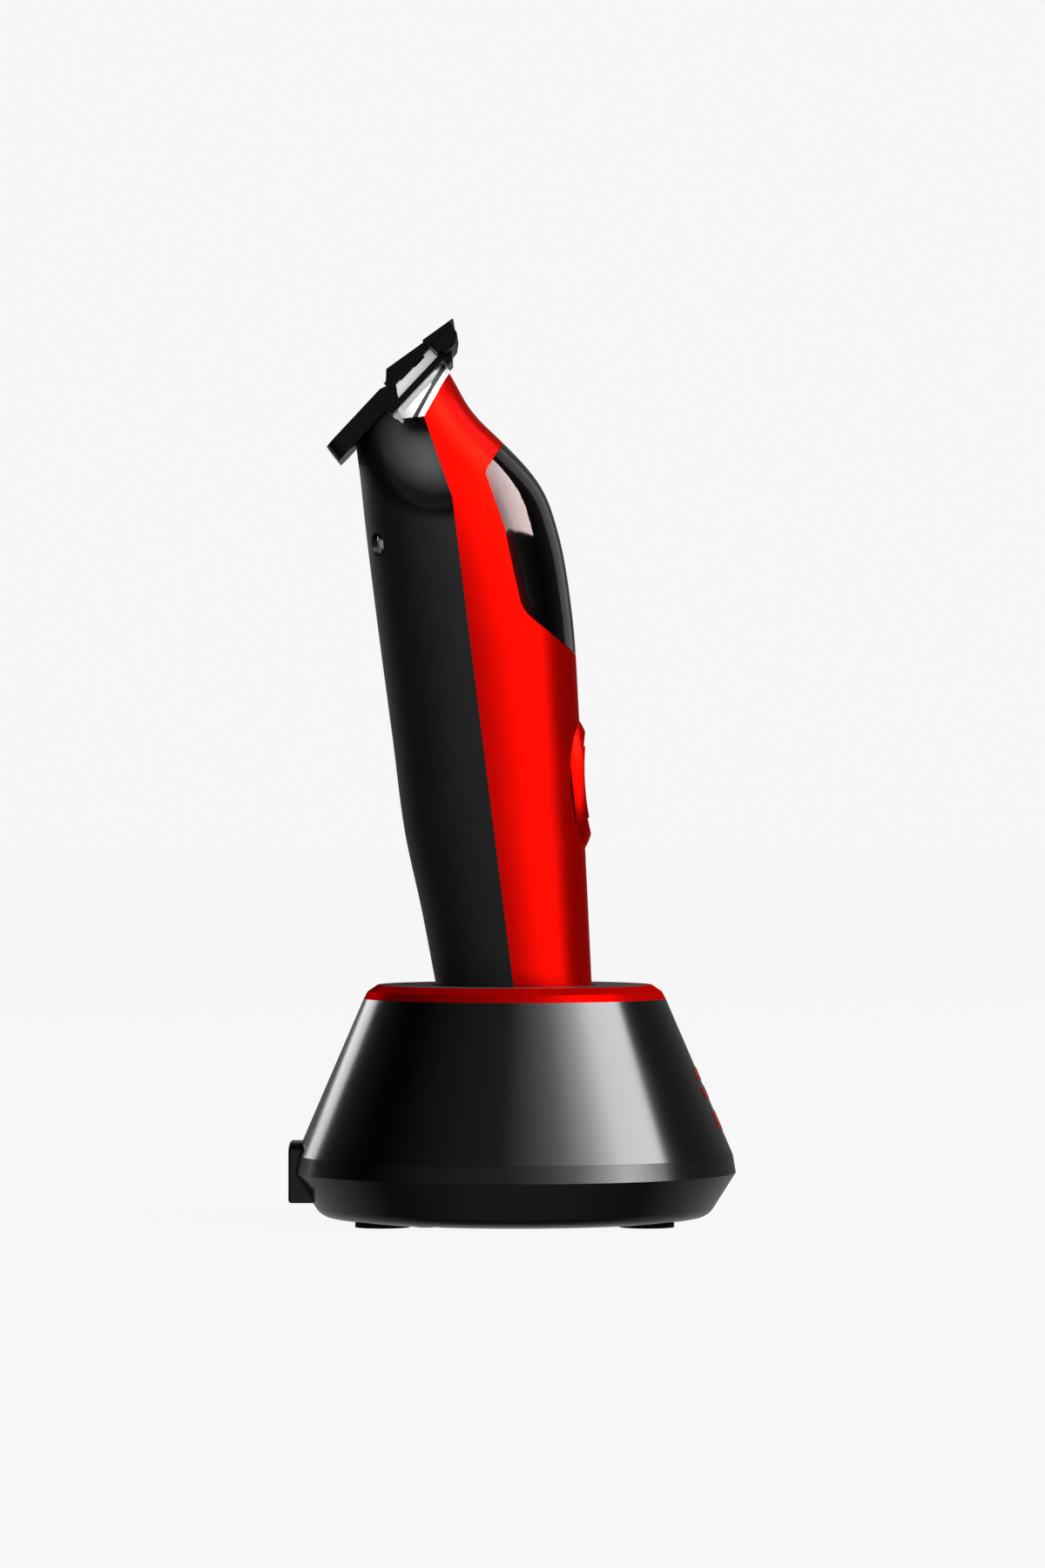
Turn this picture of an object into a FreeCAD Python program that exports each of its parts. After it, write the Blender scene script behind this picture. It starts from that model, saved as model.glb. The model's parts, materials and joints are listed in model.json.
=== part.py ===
"""Cordless T-blade hair clipper standing in its round charging dock.

Row frame, millimetres: +Z up, the origin on the floor under the dock's axis, +X to the dock's
front, which is also the side of the handset's button and window.

The handset has a frame of its own: x to its front, y across, z along its axis from its bottom end.
It stands in the dock with its top leaning back. The blade set has a third frame: a along the
blades to the tooth tips, y across, n out of the blades' outer face.
"""
import FreeCAD, Part
import math
import os

import Sketcher
from FreeCAD import Placement, Rotation, Vector

doc = FreeCAD.newDocument("hair_clipper")
sheet = doc.addObject("Spreadsheet::Sheet", "dims")
parts = {}

# ---------------------------------------------------------------- driving dimensions

DIMENSIONS = {
    # where the handset stands
    "stand_front": 2.0,          # its axis meets its bottom end this far in front of the dock's axis
    "stand_height": 27.0,
    "lean": 6.0,                 # degrees
    # handset shells
    "wall": 1.8,
    "cap_height": 6.0,           # bottom cap
    "cap_floor": 2.0,
    "cap_round": 1.5,
    "seam": 0.12,                # gap round the window cover
    "cover_thick": 1.5,
    "cover_ledge": 1.6,          # width of the seat under the cover's edge
    "part_bottom_x": 0.5,        # parting line between the shells, from the bottom end up
    "part_low_x": 0.1,
    "part_low_z": 22.0,
    "part_high_x": -1.9,
    "part_high_z": 122.9,
    "part_top_x": -5.93,
    "part_top_z": 140.08,
    "red_top_x": 0.07,           # upper end of the front shell
    "red_top_z": 148.95,
    "neck_rear_x": -10.43,       # where the parting line turns up at the rear of the neck
    # scoops that narrow the neck, one sphere on each side
    "scoop_radius": 45.0,
    "scoop_round": 3.0,
    "scoop_x": -12.2,
    "scoop_y": 54.6,
    "scoop_z": 145.6,
    # button
    "boss_z": 62.2,
    "boss_x": 15.96,
    "boss_long": 15.0,
    "boss_proud": 5.4,
    "boss_wide": 8.6,
    "boss_tilt": 2.7,            # degrees
    "dish_radius": 55.0,         # concave face of the boss
    "dish_bottom": 18.75,
    "button_long": 7.4,
    "button_wide": 4.7,
    "button_gap": 0.2,
    "button_proud": 0.35,
    "button_back": 15.6,
    "flange_more": 0.9,
    "flange_thick": 0.8,
    # control board, switch and bracket
    "board_x": 10.2,
    "board_thick": 1.6,
    "board_wide": 15.0,
    "board_low": 43.0,
    "board_high": 98.0,
    "board_screw_y": 5.0,
    "board_screw_z": 95.0,
    "board_screw_hole": 1.7,
    "switch_size": 6.0,
    "switch_tall": 2.2,
    "plunger_dia": 3.2,
    "plunger_gap": 0.1,
    "plunger_tip": 14.75,
    "plunger_long": 2.0,
    # battery
    "cell_dia": 18.5,
    "cell_long": 65.0,
    "cell_x": -1.5,
    "cell_low": 12.0,
    "holder_dia": 22.4,
    "holder_low": 9.6,
    "holder_high": 20.0,
    "tab_wide": 6.0,
    "tab_thick": 0.2,
    # motor
    "motor_x": -5.5,
    "motor_dia": 23.0,
    "motor_low": 87.0,
    "motor_high": 122.0,
    "motor_wall": 1.0,
    "endcap_thick": 3.0,
    "nose_dia": 8.0,
    "nose_high": 2.0,
    "bush_dia": 5.6,
    "bush_long": 3.0,
    "shaft_dia": 2.5,
    "shaft_play": 0.03,          # radial, in the bushes
    "shaft_top": 136.0,
    "core_dia": 19.0,
    "core_end_gap": 4.0,
    "crank": 1.2,                # the drive pin's distance from the motor's axis
    "cam_dia": 8.0,
    "cam_low": 131.0,
    "cam_high": 138.8,
    "pin_dia": 2.0,
    "pin_top": 147.3,
    "cradle_low": 109.5,
    "cradle_high": 120.5,
    "cradle_dia": 25.8,
    # the two screws in the rear shell
    "shell_screw_z": 115.15,
    "shell_screw_y": 8.0,
    "shell_screw_seat": -17.0,
    "shell_screw_hole": 2.2,
    "recess_dia": 4.9,
    # blade frame
    "blade_x": -13.46,
    "blade_z": 147.65,
    "blade_pitch": 40.9,         # degrees up from the handset's x axis
    "rim_depth": 2.56,           # rear shell's slanted top, below the carrier's outer face
    "carrier_thick": 3.94,
    "carrier_wide": 22.0,
    "channel_gap": 0.15,         # round the carrier where it crosses the shell
    "blade_screw_back": 5.8,
    "blade_screw_y": 4.5,
    "rivet_x": 0.65,
    "rivet_y": 7.5,
    "carrier_corner": 3.0,
    "contact_depth": 1.78,       # plane where comb and cutter meet
    "comb_wide": 40.0,
    "comb_stem": 24.0,
    "comb_tip": 19.1,
    "wing_start": 11.7,
    "comb_tooth_pitch": 1.25,
    "comb_gap": 0.55,
    "comb_root": 14.6,
    "comb_gaps": 31.0,
    "cutter_wide": 35.0,
    "cutter_tip": 18.3,
    "cutter_tooth_pitch": 1.75,
    "cutter_gap": 0.8,
    "cutter_root": 14.4,
    "cutter_gaps": 19.0,
    "cutter_stem": 14.0,
    "cutter_plate": 0.9,
    "slide_play": 0.02,          # between cutter and comb
    "follower_wide": 21.0,
    "fork_outer": 5.3,
    "fork_low": 141.6,
    "plate_wide": 23.6,
    "plate_top": 4.12,
    "plate_thick": 1.35,
    "passage_rear": -9.2,
    "passage_front": -1.8,
    "passage_half": 7.0,
    "trim_thick": 1.05,
    "gasket_thick": 0.9,
    # dock
    "foot_dia": 11.2,
    "foot_tall": 1.6,
    "foot_show": 0.8,
    "foot_x": 27.0,
    "foot_y": 16.5,
    "base_flat": 35.0,
    "base_corner": 40.05,
    "base_corner_z": 1.45,
    "base_round": 4.0,
    "lip_radius": 45.7,
    "lip_z": 10.4,
    "cone_foot": 45.1,
    "cone_foot_z": 13.9,
    "cone_top": 31.2,
    "cone_top_z": 46.2,
    "ring_mid": 30.4,
    "ring_mid_z": 47.7,
    "ring_top": 28.4,
    "ring_top_z": 49.05,
    "ring_inner": 27.6,
    "plate_high": 49.0,
    "dock_wall": 2.6,
    "shoulder": 26.2,            # inner radius of the flange that carries ring and plate
    "shoulder_thick": 2.0,
    "socket_gap": 0.5,
    "mouth_gap": 1.0,
    "cup_wall": 1.5,
    "cup_floor": 0.3,            # below the handset's bottom
    "pin_side": 6.0,
    "contact_dia": 2.0,
    "inlet_face": 46.6,
    "inlet_root": 38.0,
    "inlet_low": 4.3,
    "inlet_high": 16.7,
    "inlet_wide": 14.0,
    "inlet_bore": 6.4,
    "inlet_axis_z": 10.6,
    "indicator_wide": 15.0,
    "indicator_proud": 0.15,
    "post_circle": 35.5,
    "post_dia": 7.0,
}

# the handset's side and front view: height, rear edge, front edge, half width
PROFILE = [
    (0.0, -13.7, 15.0, 13.6),
    (24.0, -15.9, 16.35, 15.2),
    (40.4, -17.3, 17.3, 16.2),
    (54.0, -18.85, 18.05, 16.9),
    (76.0, -19.5, 19.35, 17.7),
    (98.0, -20.1, 20.1, 18.2),
    (112.5, -20.4, 19.2, 18.1),
    (120.0, -20.5, 17.8, 17.8),
    (126.8, -20.5, 14.8, 17.3),
    (131.5, -20.55, 11.4, 16.8),
    (134.7, -20.6, 8.5, 16.4),
    (137.8, -20.65, 6.1, 16.0),
    (142.5, -20.7, 3.1, 15.5),
    (149.0, -20.7, 0.1, 14.9),
    (156.0, -20.7, -2.3, 14.4),
]
RINGS = 27                               # evenly spaced cross-sections worked out from the profile
CAP_RINGS = 3                            # how many of them reach past the bottom cap
CUP_RINGS = 6                            # and past the dock's mouth


def profile_at(column, height):
    """A smooth curve through one column of the profile, read at a height."""
    heights = [row[0] for row in PROFILE]
    values = [row[column] for row in PROFILE]
    last = len(PROFILE) - 1
    spans = [heights[i + 1] - heights[i] for i in range(last)]
    rises = [(values[i + 1] - values[i]) / spans[i] for i in range(last)]
    slopes = [rises[0]]
    for i in range(1, last):
        near, far = spans[i - 1], spans[i]
        slopes.append((far * rises[i - 1] + near * rises[i]) / (near + far))
    slopes.append(rises[-1])
    i = min(max(sum(1 for value in heights if value <= height) - 1, 0), last - 1)
    step = spans[i]
    part_way = (height - heights[i]) / step
    rest = 1 - part_way
    return (values[i] * (1 + 2 * part_way) * rest ** 2
            + values[i + 1] * (3 - 2 * part_way) * part_way ** 2
            + slopes[i] * step * part_way * rest ** 2
            - slopes[i + 1] * step * rest * part_way ** 2)


def fill_sheet():
    """One row per dimension: its name, its value under an alias, in millimetres or degrees."""
    rows = dict(DIMENSIONS)
    for i in range(RINGS):
        height = PROFILE[-1][0] * i / (RINGS - 1)
        rows["height_%d" % i] = height
        rows["rear_%d" % i] = profile_at(1, height)
        rows["front_%d" % i] = profile_at(2, height)
        rows["half_%d" % i] = profile_at(3, height)
    for row, (alias, value) in enumerate(rows.items(), start=1):
        sheet.set("A%d" % row, alias)
        sheet.set("B%d" % row, str(value))
        sheet.setAlias("B%d" % row, alias)
    doc.recompute()


def size(expression):
    """The number that an expression in the sheet's aliases gives."""
    return float(sheet.evalExpression(expression))


def bind(item, **expressions):
    """Binds properties to expressions; a double underscore stands for a dot."""
    for name, expression in expressions.items():
        item.setExpression(name.replace("__", "."), expression)
    return item


# ---------------------------------------------------------------- frames

fill_sheet()
ROW = Placement()
SIDE = Rotation(Vector(1, 0, 0), 90)     # sketch x to the front, sketch y up
HANDSET = Placement(Vector(size("dims.stand_front"), 0, size("dims.stand_height")),
                    Rotation(Vector(0, 1, 0), -size("dims.lean")))
BLADE = Placement(Vector(size("dims.blade_x"), 0, size("dims.blade_z")),
                  Rotation(Vector(0, 1, 0), -size("dims.blade_pitch")))
NECK_ANGLE = math.degrees(math.atan2(size("dims.red_top_z - dims.part_top_z"),
                                     size("dims.red_top_x - dims.part_top_x")))
NECK = Placement(Vector(size("dims.part_top_x"), 0, size("dims.part_top_z")),
                 Rotation(Vector(0, 1, 0), -NECK_ANGLE))


# ---------------------------------------------------------------- building blocks

def box(name, low, high, frame=ROW):
    """A box between two corners, each three expressions, in one of the frames."""
    item = doc.addObject("Part::Box", name)
    bind(item, Length="(%s) - (%s)" % (high[0], low[0]), Width="(%s) - (%s)" % (high[1], low[1]),
         Height="(%s) - (%s)" % (high[2], low[2]))
    item.Placement = frame * Placement(Vector(*[size(text) for text in low]), Rotation())
    return item


def cylinder(name, diameter, foot, length, frame=ROW, along=Vector(0, 0, 1)):
    """A cylinder from its foot, three expressions, along a direction."""
    item = doc.addObject("Part::Cylinder", name)
    bind(item, Radius="(%s) / 2" % diameter, Height=length)
    turn = Rotation(Vector(0, 0, 1), along)
    item.Placement = frame * Placement(Vector(*[size(text) for text in foot]), turn)
    return item


def cone(name, low_radius, high_radius, low, high):
    """A cone frustum about the dock's axis."""
    item = doc.addObject("Part::Cone", name)
    bind(item, Radius1=low_radius, Radius2=high_radius, Height="(%s) - (%s)" % (high, low))
    item.Placement = Placement(Vector(0, 0, size(low)), Rotation())
    return item


def fuse(name, items):
    item = doc.addObject("Part::MultiFuse", name)
    item.Shapes = items
    return item


def cut(name, base, tool):
    item = doc.addObject("Part::Cut", name)
    item.Base = base
    item.Tool = tool
    return item


def cut_all(name, base, tools):
    return cut(name, base, fuse(name + "_tools", tools))


def common(name, first, second):
    item = doc.addObject("Part::Common", name)
    item.Base = first
    item.Tool = second
    return item


def draw(sketch, points):
    """Draws a closed outline of straight lines and binds its corners to the sheet."""
    corners = [Vector(size(x), size(y), 0) for x, y in points]
    count = len(corners)
    for i in range(count):
        sketch.addGeometry(Part.LineSegment(corners[i], corners[(i + 1) % count]), False)
    for i in range(count):
        sketch.addConstraint(Sketcher.Constraint("Coincident", i, 2, (i + 1) % count, 1))
    for i, (x, y) in enumerate(points):
        for kind, text, value in (("DistanceX", x, corners[i].x), ("DistanceY", y, corners[i].y)):
            index = sketch.addConstraint(Sketcher.Constraint(kind, -1, 1, i, 1, value))
            sketch.setExpression("Constraints[%d]" % index, text)
    return sketch


def outline(name, points):
    """A sketch in the side view, outside any body."""
    sketch = doc.addObject("Sketcher::SketchObject", name)
    sketch.Placement = Placement(Vector(), SIDE)
    return draw(sketch, points)


def prism(name, profile, width):
    """Extrudes a side-view profile across, the same distance to both sides."""
    item = doc.addObject("Part::Extrusion", name)
    item.Base = profile
    item.DirMode = "Custom"
    item.Dir = Vector(0, 1, 0)
    item.Solid = True
    item.Symmetric = True
    return bind(item, LengthFwd=width)


def origin_plane(body, role):
    return [item for item in body.Origin.OriginFeatures if item.Role == role][0]


def body_sketch(body, name, role, points):
    sketch = body.newObject("Sketcher::SketchObject", name)
    sketch.AttachmentSupport = [(origin_plane(body, role), "")]
    sketch.MapMode = "FlatFace"
    return draw(sketch, points)


def pad_body(name, points, width):
    """A body that starts as a side-view profile padded equally to both sides."""
    body = doc.addObject("PartDesign::Body", name)
    pad = body.newObject("PartDesign::Pad", name + "_pad")
    pad.Profile = body_sketch(body, name + "_profile", "XZ_Plane", points)
    pad.SideType = "Symmetric"
    bind(pad, Length=width)
    doc.recompute()
    return body


def turned_body(name, points):
    """A body turned about the dock's axis from a profile of radius and height."""
    body = doc.addObject("PartDesign::Body", name)
    turned = body.newObject("PartDesign::Revolution", name + "_turned")
    sketch = body_sketch(body, name + "_profile", "XZ_Plane", points)
    turned.Profile = sketch
    turned.ReferenceAxis = (sketch, ["V_Axis"])
    doc.recompute()
    return body


def pocket_row(body, name, points, count, pitch):
    """Cuts one plan-view pocket through all and repeats it across in a row."""
    before = body.Shape.Volume
    pocket = body.newObject("PartDesign::Pocket", name)
    sketch = body_sketch(body, name + "_profile", "XY_Plane", points)
    pocket.Profile = sketch
    pocket.Type = "ThroughAll"
    pocket.SideType = "Symmetric"
    doc.recompute()
    if body.Shape.Volume >= before:
        raise RuntimeError(name + " cuts nothing")
    row = body.newObject("PartDesign::LinearPattern", name + "_row")
    row.Originals = [pocket]
    row.Direction = (sketch, ["V_Axis"])
    bind(row, Length="(%s - 1) * %s" % (count, pitch), Occurrences=count)
    body.Tip = row
    doc.recompute()


def part(node, item, frame=ROW):
    """Names a finished sub-part and puts it in its place."""
    item.Label = node
    item.Placement = frame * item.Placement
    parts[node] = item
    return item


def group(node, items, frame=ROW):
    """Separate solids that share one node."""
    item = doc.addObject("Part::Compound", node)
    item.Links = items
    return part(node, item, frame)


def section(name, index, inset):
    """One elliptical cross-section of the handset, drawn in by an inset."""
    deep = "((dims.front_%d - dims.rear_%d) / 2 - (%s))" % (index, index, inset)
    wide = "(dims.half_%d - (%s))" % (index, inset)
    item = doc.addObject("Part::Ellipse", "%s_%d" % (name, index))
    bind(item, MajorRadius="max(%s; %s)" % (deep, wide), MinorRadius="min(%s; %s)" % (deep, wide))
    quarter = 0 if size(deep) >= size(wide) else 90
    middle = size("(dims.front_%d + dims.rear_%d) / 2" % (index, index))
    item.Placement = Placement(Vector(middle, 0, size("dims.height_%d" % index)),
                               Rotation(Vector(0, 0, 1), quarter))
    return item


def envelope(name, inset, count=RINGS):
    """The handset's outer form, or that form drawn in or out by the same amount all round."""
    item = doc.addObject("Part::Loft", name)
    item.Sections = [section(name, index, inset) for index in range(count)]
    item.Solid = True
    item.Ruled = False
    return item


def scoops(name, deeper):
    """Two spheres that hollow the sides of the neck."""
    balls = []
    for side in (-1, 1):
        ball = doc.addObject("Part::Sphere", "%s_%s" % (name, "left" if side > 0 else "right"))
        bind(ball, Radius="dims.scoop_radius + (%s)" % deeper)
        ball.Placement.Base = Vector(size("dims.scoop_x"), side * size("dims.scoop_y"),
                                     size("dims.scoop_z"))
        balls.append(ball)
    return fuse(name, balls)


def on_scoop(edge):
    """Whether an edge of the scooped form runs along the rim of a scoop."""
    side = 1 if edge.CenterOfMass.y > 0 else -1
    centre = Vector(size("dims.scoop_x"), side * size("dims.scoop_y"), size("dims.scoop_z"))
    reach = size("dims.scoop_radius")
    marks = [edge.valueAt(edge.FirstParameter + share * (edge.LastParameter - edge.FirstParameter))
             for share in (0.1, 0.5, 0.9)]
    return all(abs(mark.distanceToPoint(centre) - reach) < 0.05 for mark in marks)


def rounded(name, base, radius, wanted):
    """The edges that wanted() picks, rounded by one radius."""
    item = doc.addObject("Part::Fillet", name)
    item.Base = base
    doc.recompute()
    blend = size(radius)
    item.Edges = [(index + 1, blend, blend) for index, edge in enumerate(base.Shape.Edges) if wanted(edge)]
    return item


def screw(name, seat, along, frame, head, head_tall, shank, length):
    """A pan-head screw with a cross recess; seat is where its head's underside rests."""
    into = Vector(along).normalize()
    turn = Rotation(Vector(0, 0, 1), into)
    head_shape = Part.makeCylinder(head / 2, head_tall, Vector(0, 0, -head_tall))
    edge = [line for line in head_shape.Edges if abs(line.BoundBox.ZMax + head_tall) < 1e-6]
    head_shape = head_shape.makeFillet(head_tall * 0.35, edge)
    solid = head_shape.fuse(Part.makeCylinder(shank / 2, length))
    for slot_long, slot_wide in ((0.62, 0.16), (0.16, 0.62)):
        slot = Part.makeBox(head * slot_long, head * slot_wide, head_tall * 0.6,
                            Vector(-head * slot_long / 2, -head * slot_wide / 2, -head_tall))
        solid = solid.cut(slot)
    item = doc.addObject("Part::Feature", name)
    item.Shape = solid.removeSplitter()
    item.Placement = frame * Placement(Vector(*seat), turn)
    return item


# ---------------------------------------------------------------- handset shells

def handset_shells():
    outer = envelope("outer_loft", "0")
    inner = envelope("inner_loft", "dims.wall")
    middle = envelope("middle_loft", "dims.cover_thick")
    wall = cut("shell_wall", outer, inner)
    scooped = rounded("scooped_form", cut("scooped_blank", outer, scoops("outer_scoops", "0")),
                      "dims.scoop_round", on_scoop)
    under_scoop = cut("under_scoop", inner, scoops("inner_scoops", "dims.wall"))
    rear_wall = cut("rear_wall", scooped, under_scoop)

    rear_region = prism("rear_region", outline("rear_outline", [
        ("-60", "dims.cap_height"),
        ("dims.part_bottom_x", "dims.cap_height"),
        ("dims.part_low_x", "dims.part_low_z"),
        ("dims.part_high_x", "dims.part_high_z"),
        ("dims.part_top_x", "dims.part_top_z"),
        ("dims.neck_rear_x", "dims.part_top_z"),
        ("-10.9", "dims.part_top_z + 16"),
        ("-60", "dims.part_top_z + 16")]), "120")
    rear = common("rear_blank", rear_wall, rear_region)
    top_trim = box("rim_cut", ("-60", "-60", "-dims.rim_depth"), ("60", "60", "60"), BLADE)
    rim_end = box("rim_end_cut", ("-3.5", "-60", "-8.2"), ("30", "60", "20"), BLADE)
    channel_half = "(dims.carrier_wide / 2 + dims.channel_gap)"
    channel = box("carrier_channel", ("-60", "-" + channel_half, "-dims.carrier_thick - 0.05"),
                  ("60", channel_half, "10"), BLADE)
    holes = []
    for side in (-1, 1):
        foot = ("-40", "%d * dims.shell_screw_y" % side, "dims.shell_screw_z")
        holes.append(cylinder("recess", "dims.recess_dia", foot, "40 + dims.shell_screw_seat", ROW,
                              Vector(1, 0, 0)))
        holes.append(cylinder("recess_hole", "dims.shell_screw_hole", foot, "30", ROW, Vector(1, 0, 0)))
    part("rear_shell", cut_all("rear_shell", rear, [top_trim, rim_end, channel] + holes), HANDSET)

    front_shell(outer, wall, middle)
    bottom_cap(outer)
    neck_pieces(outer)


def window_outline():
    """Side view of the window cover: a hood over the upper front with rounded corners."""
    corners = [(9.63, 133.10), (5.25, 127.59), (8.14, 115.52), (9.13, 106.01), (9.92, 99.77),
               (10.97, 97.67), (19.83, 88.95), (40.0, 69.1), (40.0, 171.3)]
    radii = {1: 2.4, 4: 4.0, 5: 3.0}
    points = [Vector(x, 0, z) for x, z in corners]
    count = len(points)
    pieces = []
    start = points[0]
    for i in range(1, count + 1):
        corner = points[i % count]
        if i % count in radii:
            before = (points[i - 1] - corner).normalize()
            after = (points[(i + 1) % count] - corner).normalize()
            half = before.getAngle(after) / 2
            back = radii[i % count] / math.tan(half)
            back = min(back, 0.49 * (points[i - 1] - corner).Length,
                       0.49 * (points[(i + 1) % count] - corner).Length)
            inward = (before + after).normalize()
            radius = back * math.tan(half)
            middle = corner + inward * (radius / math.sin(half) - radius)
            pieces.append(Part.LineSegment(start, corner + before * back).toShape())
            pieces.append(Part.Arc(corner + before * back, middle, corner + after * back).toShape())
            start = corner + after * back
        else:
            pieces.append(Part.LineSegment(start, corner).toShape())
            start = corner
    item = doc.addObject("Part::Feature", "window_outline")
    item.Shape = Part.Wire(pieces)
    return item


def window_prism(name, profile, grow):
    """The window's outline grown or drawn in, extruded across."""
    item = doc.addObject("Part::Offset2D", name + "_offset")
    item.Source = profile
    item.Join = 2
    bind(item, Value=grow)
    return prism(name, item, "120")


def front_shell(outer, wall, middle):
    region = prism("front_region", outline("front_outline", [
        ("60", "dims.cap_height"),
        ("dims.part_bottom_x", "dims.cap_height"),
        ("dims.part_low_x", "dims.part_low_z"),
        ("dims.part_high_x", "dims.part_high_z"),
        ("dims.part_top_x", "dims.part_top_z"),
        ("dims.red_top_x", "dims.red_top_z"),
        ("dims.red_top_x + 6", "dims.red_top_z + 6 * (dims.red_top_z - dims.part_top_z)"
         " / (dims.red_top_x - dims.part_top_x)"),
        ("60", "dims.red_top_z + 6 * (dims.red_top_z - dims.part_top_z)"
         " / (dims.red_top_x - dims.part_top_x)")]), "120")
    boss = doc.addObject("Part::Ellipsoid", "boss_form")
    bind(boss, Radius1="dims.boss_long", Radius2="dims.boss_proud", Radius3="dims.boss_wide")
    boss.Placement = Placement(Vector(size("dims.boss_x"), 0, size("dims.boss_z")),
                               Rotation(Vector(0, 1, 0), size("dims.boss_tilt")))
    boss_front = common("boss_front", boss, box("boss_reach", ("dims.button_back + 0.9", "-20", "30"),
                                                ("40", "20", "100")))
    blank = fuse("front_blank", [common("front_wall", wall, region), boss_front])

    profile = window_outline()
    seat = window_prism("window_seat", profile, "dims.seam")
    pane = window_prism("window_pane", profile, "0")
    opening = window_prism("window_opening", profile, "-dims.cover_ledge")
    seat_ring = common("window_seat_skin", cut("outer_skin", outer, middle), seat)
    part("window_cover", common("window_cover", cut("cover_skin", outer, envelope(
        "cover_back", "dims.cover_thick - 0.02")), pane), HANDSET)

    dish = dish_tool("dish", "dims.dish_radius")
    hole = button_prism("button_hole", "dims.button_gap", "0", "60")
    part("front_shell", cut_all("front_shell", blank, [seat_ring, opening, dish, hole]), HANDSET)

    button = button_prism("button_stem", "0", "dims.button_back", "30")
    button_top = dish_tool("button_dish", "dims.dish_radius - dims.button_proud")
    flange = button_prism("button_flange", "dims.flange_more", "dims.button_back - dims.flange_thick",
                          "dims.button_back", "dims.button_gap * 0.7")
    part("power_button", fuse("power_button", [cut("button_body", button, button_top), flange]), HANDSET)


def dish_tool(name, radius):
    """A cylinder across the handset that hollows the boss along its length."""
    item = doc.addObject("Part::Cylinder", name)
    bind(item, Radius=radius, Height="60")
    tilt = Rotation(Vector(0, 1, 0), size("dims.boss_tilt"))
    centre = Vector(size("dims.boss_x"), 0, size("dims.boss_z"))
    reach = size("dims.dish_bottom + dims.dish_radius - dims.boss_x")
    centre = centre + tilt.multVec(Vector(reach, 0, 0))
    item.Placement = Placement(centre + Vector(0, -30, 0), Rotation(Vector(0, 0, 1), Vector(0, 1, 0)))
    return item


def button_prism(name, longer, start, end, wider=None):
    """The button's oval, grown a little, between two distances in front of the axis."""
    oval = doc.addObject("Part::Ellipse", name + "_oval")
    bind(oval, MajorRadius="dims.button_long + (%s)" % longer,
         MinorRadius="dims.button_wide + (%s)" % (wider or longer))
    upright = Rotation(Vector(0, 1, 0), Vector(0, 0, 1), Vector(1, 0, 0), "XYZ")
    long_axis_up = upright * Rotation(Vector(0, 0, 1), 90)
    oval.Placement = Placement(Vector(size(start), 0, size("dims.boss_z")), long_axis_up)
    item = doc.addObject("Part::Extrusion", name)
    item.Base = oval
    item.DirMode = "Custom"
    item.Dir = Vector(1, 0, 0)
    item.Solid = True
    return bind(item, LengthFwd="(%s) - (%s)" % (end, start))


def bottom_cap(outer):
    blank = common("cap_blank", outer, box("cap_region", ("-60", "-60", "-1"),
                                           ("60", "60", "dims.cap_height")))
    hollow = common("cap_hollow", envelope("cap_inner", "dims.wall", CAP_RINGS),
                    box("cap_hollow_region", ("-60", "-60", "dims.cap_floor"), ("60", "60", "20")))
    lowest = rounded("cap_rounded", blank, "dims.cap_round", lambda edge: edge.BoundBox.ZMax < 0.01)
    pads = []
    pockets = []
    for side, word in ((-1, "right"), (1, "left")):
        foot = ("0", "%d * dims.pin_side" % side, "0")
        pads.append(cylinder("pad_" + word, "6", foot, "1.2"))
        pockets.append(cylinder("pad_pocket_" + word, "6", foot, "1.2"))
    part("bottom_cap", cut_all("bottom_cap", lowest, [hollow] + pockets), HANDSET)
    group("charge_pads", pads, HANDSET)


# ---------------------------------------------------------------- neck and head

def neck_pieces(outer):
    """Bright trim, grey seal and metal head block between the shells and the blade set."""
    front = ("dims.red_top_x", "dims.red_top_z")
    rear = ("dims.part_top_x", "dims.part_top_z")
    core = prism("neck_region", outline("neck_outline", [
        rear,
        front,
        ("-0.72", "dims.blade_z + 3.6"),
        ("-11.24", "dims.blade_z - 5.25"),
        ("dims.neck_rear_x", "dims.part_top_z")]), "60")
    neck = common("neck_core", outer, core)
    passage = box("drive_passage", ("dims.passage_rear", "-dims.passage_half", "130"),
                  ("dims.passage_front", "dims.passage_half", "160"))
    trim_slab = box("trim_slab", ("-20", "-30", "-1"), ("30", "30", "dims.trim_thick"), NECK)
    seal_slab = box("seal_slab", ("-20", "-30", "dims.trim_thick"),
                    ("30", "30", "dims.trim_thick + dims.gasket_thick"), NECK)
    part("neck_trim", cut("neck_trim", common("trim_blank", neck, trim_slab), passage), HANDSET)
    part("neck_gasket", cut("neck_gasket", common("seal_blank", neck, seal_slab), passage), HANDSET)

    shoulders = [box("head_step_%s" % word, ("-30", low, "-7.0"), ("30", high, "0"), BLADE)
                 for word, low, high in (("left", "9.9", "30"), ("right", "-30", "-9.9"))]
    tongue = box("head_tongue", ("-8.0", "-7", "-6.6"), ("-1.6", "7", "-dims.carrier_thick - 0.05"), BLADE)
    tongue_core = box("tongue_root", ("-3.2", "-7", "-8.0"), ("-1.2", "7", "-5.5"), BLADE)
    head = cut_all("head_body", neck, [trim_slab, seal_slab] + shoulders)
    head = fuse("head_with_tongue", [head, tongue, tongue_core])
    post_room = box("post_room", ("-3.4", "-12", "-5.5"), ("3", "12", "2"), BLADE)
    holes = [cylinder("head_hole", "1.6", blade_screw_foot(side, "-9"), "9", BLADE) for side in (-1, 1)]
    part("head_block", cut_all("head_block", head, [passage, post_room] + holes), HANDSET)


def blade_screw_foot(side, height):
    return "-dims.blade_screw_back", "%d * dims.blade_screw_y" % side, height


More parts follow.
